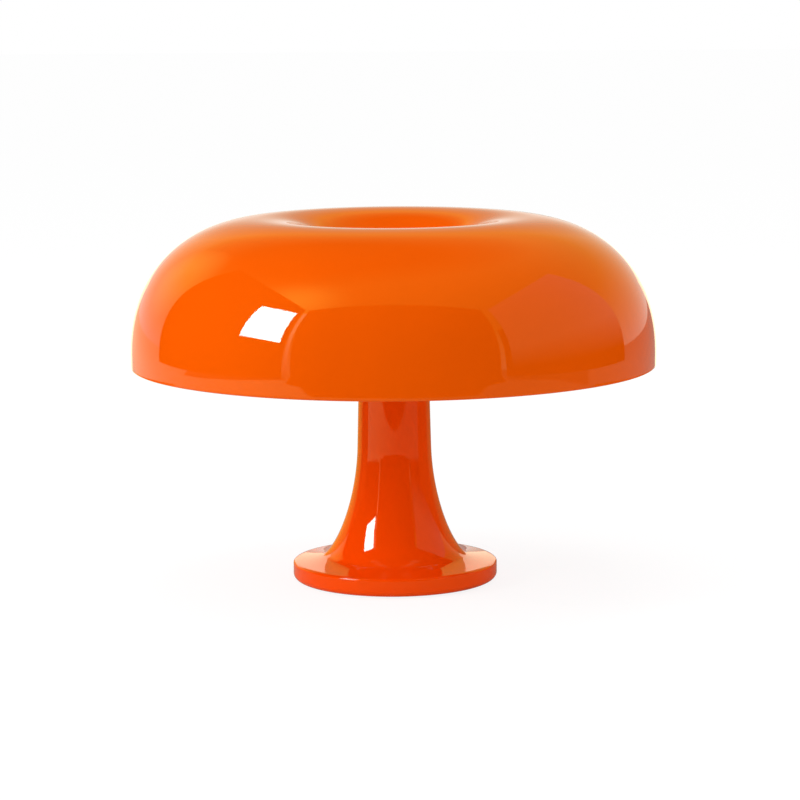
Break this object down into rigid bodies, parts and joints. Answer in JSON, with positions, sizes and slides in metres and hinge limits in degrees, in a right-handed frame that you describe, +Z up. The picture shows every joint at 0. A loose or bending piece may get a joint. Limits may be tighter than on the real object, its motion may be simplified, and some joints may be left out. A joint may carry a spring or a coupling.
{
  "type": "mushroom table lamp",
  "caption": "Ring-domed shade with a crown well on a trumpet stem; the shade lifts off a threaded rod and the bulbs screw out of tilted lampholders.",
  "frame": {"origin": "centre of the base on the surface that the lamp stands on", "axes": "+Z up along the stem, -Y towards the viewer in the picture, +Y towards the cord gland, +X right"},
  "size_m": [0.32, 0.32, 0.223],
  "materials": {
    "shade_plastic": "glossy, moulded in colour",
    "stem_plastic": "glossy, moulded in colour",
    "knob_plastic": "glossy, moulded in colour",
    "washer_nylon": "natural nylon",
    "iron": "as cast, blacked",
    "cover_steel": "black lacquer",
    "soft_black": "matt",
    "zinc_steel": "zinc plated",
    "brass": "machined",
    "holder_plastic": "heat resistant moulding",
    "block_plastic": "translucent moulding",
    "black_plastic": "fine grain",
    "shell_copper": "pressed, nickel-free",
    "sleeve_glass_silicone": "woven sleeve",
    "lead_insulation": "silicone insulation",
    "bulb_glass": "inside frosted",
    "bulb_cap_metal": "threaded, nickel plated"
  },
  "bodies": {
    "stand": {"stem_base": "stem_plastic", "ballast_weight": "iron", "base_cover": "cover_steel", "base_pad_ring": "soft_black", "cover_screws": "zinc_steel", "cord_gland": "soft_black", "cord_clamp": "black_plastic", "cord_clamp_screws": "zinc_steel", "terminal_block": "block_plastic", "terminal_sleeves": "brass", "terminal_screws": "zinc_steel", "block_screw": "zinc_steel", "tie_rod": "zinc_steel", "tie_rod_nut": "zinc_steel", "tie_rod_washer": "zinc_steel", "deck_nut": "zinc_steel", "deck_washer": "zinc_steel", "lampholder_carrier": "zinc_steel", "deck_grommet": "soft_black", "support_tube": "zinc_steel", "shade_seat": "zinc_steel", "seat_gasket": "soft_black", "holder_nipples": "zinc_steel", "holder_nuts": "zinc_steel", "lampholder_caps": "holder_plastic", "lampholder_bodies": "holder_plastic", "holder_insulators": "holder_plastic", "holder_screw_shells": "shell_copper", "holder_contacts": "brass", "holder_terminals": "brass", "lead_sleeve": "sleeve_glass_silicone", "supply_leads": "lead_insulation", "holder_jumpers": "lead_insulation"},
    "shade": {"shade": "shade_plastic"},
    "knob_washer": {"knob_washer": "washer_nylon"},
    "knob": {"shade_knob": "knob_plastic", "knob_insert": "brass"},
    "bulb_1_contact": {"bulb_contact_1": "black_plastic"},
    "bulb_1": {"bulb_glass_1": "bulb_glass", "bulb_cap_1": "bulb_cap_metal"},
    "bulb_2_contact": {"bulb_contact_2": "black_plastic"},
    "bulb_2": {"bulb_glass_2": "bulb_glass", "bulb_cap_2": "bulb_cap_metal"},
    "bulb_3_contact": {"bulb_contact_3": "black_plastic"},
    "bulb_3": {"bulb_glass_3": "bulb_glass", "bulb_cap_3": "bulb_cap_metal"},
    "bulb_4_contact": {"bulb_contact_4": "black_plastic"},
    "bulb_4": {"bulb_glass_4": "bulb_glass", "bulb_cap_4": "bulb_cap_metal"}
  },
  "joints": [
    {"name": "shade_lift", "type": "slide", "parent": "stand", "child": "shade", "axis": [0, 0, 1], "range_m": [0, 0.12]},
    {"name": "knob_rise", "type": "slide", "parent": "shade", "child": "knob_washer", "axis": [0, 0, 1], "range_m": [0, 0.0101]},
    {"name": "knob_turn", "type": "hinge", "parent": "knob_washer", "child": "knob", "pos_m": [0, 0, 0.18], "axis": [0, 0, 1], "range_deg": [0, 2880]},
    {"name": "bulb_1_out", "type": "slide", "parent": "stand", "child": "bulb_1_contact", "axis": [0.683, 0.683, 0.2588], "range_m": [0, 0.01412]},
    {"name": "bulb_1_turn", "type": "hinge", "parent": "bulb_1_contact", "child": "bulb_1", "pos_m": [0.04288, 0.04288, 0.15635], "axis": [0.683, 0.683, 0.2588], "range_deg": [0, 1800]},
    {"name": "bulb_2_out", "type": "slide", "parent": "stand", "child": "bulb_2_contact", "axis": [-0.683, 0.683, 0.2588], "range_m": [0, 0.01412]},
    {"name": "bulb_2_turn", "type": "hinge", "parent": "bulb_2_contact", "child": "bulb_2", "pos_m": [-0.04288, 0.04288, 0.15635], "axis": [-0.683, 0.683, 0.2588], "range_deg": [0, 1800]},
    {"name": "bulb_3_out", "type": "slide", "parent": "stand", "child": "bulb_3_contact", "axis": [-0.683, -0.683, 0.2588], "range_m": [0, 0.01412]},
    {"name": "bulb_3_turn", "type": "hinge", "parent": "bulb_3_contact", "child": "bulb_3", "pos_m": [-0.04288, -0.04288, 0.15635], "axis": [-0.683, -0.683, 0.2588], "range_deg": [0, 1800]},
    {"name": "bulb_4_out", "type": "slide", "parent": "stand", "child": "bulb_4_contact", "axis": [0.683, -0.683, 0.2588], "range_m": [0, 0.01412]},
    {"name": "bulb_4_turn", "type": "hinge", "parent": "bulb_4_contact", "child": "bulb_4", "pos_m": [0.04288, -0.04288, 0.15635], "axis": [0.683, -0.683, 0.2588], "range_deg": [0, 1800]}
  ],
  "couplings": [
    {"joint": "knob_rise", "follows": "knob_turn", "m_per_rad": 0.00019894},
    {"joint": "bulb_1_out", "follows": "bulb_1_turn", "m_per_rad": 0.00044913},
    {"joint": "bulb_2_out", "follows": "bulb_2_turn", "m_per_rad": 0.00044913},
    {"joint": "bulb_3_out", "follows": "bulb_3_turn", "m_per_rad": 0.00044913},
    {"joint": "bulb_4_out", "follows": "bulb_4_turn", "m_per_rad": 0.00044913}
  ]
}
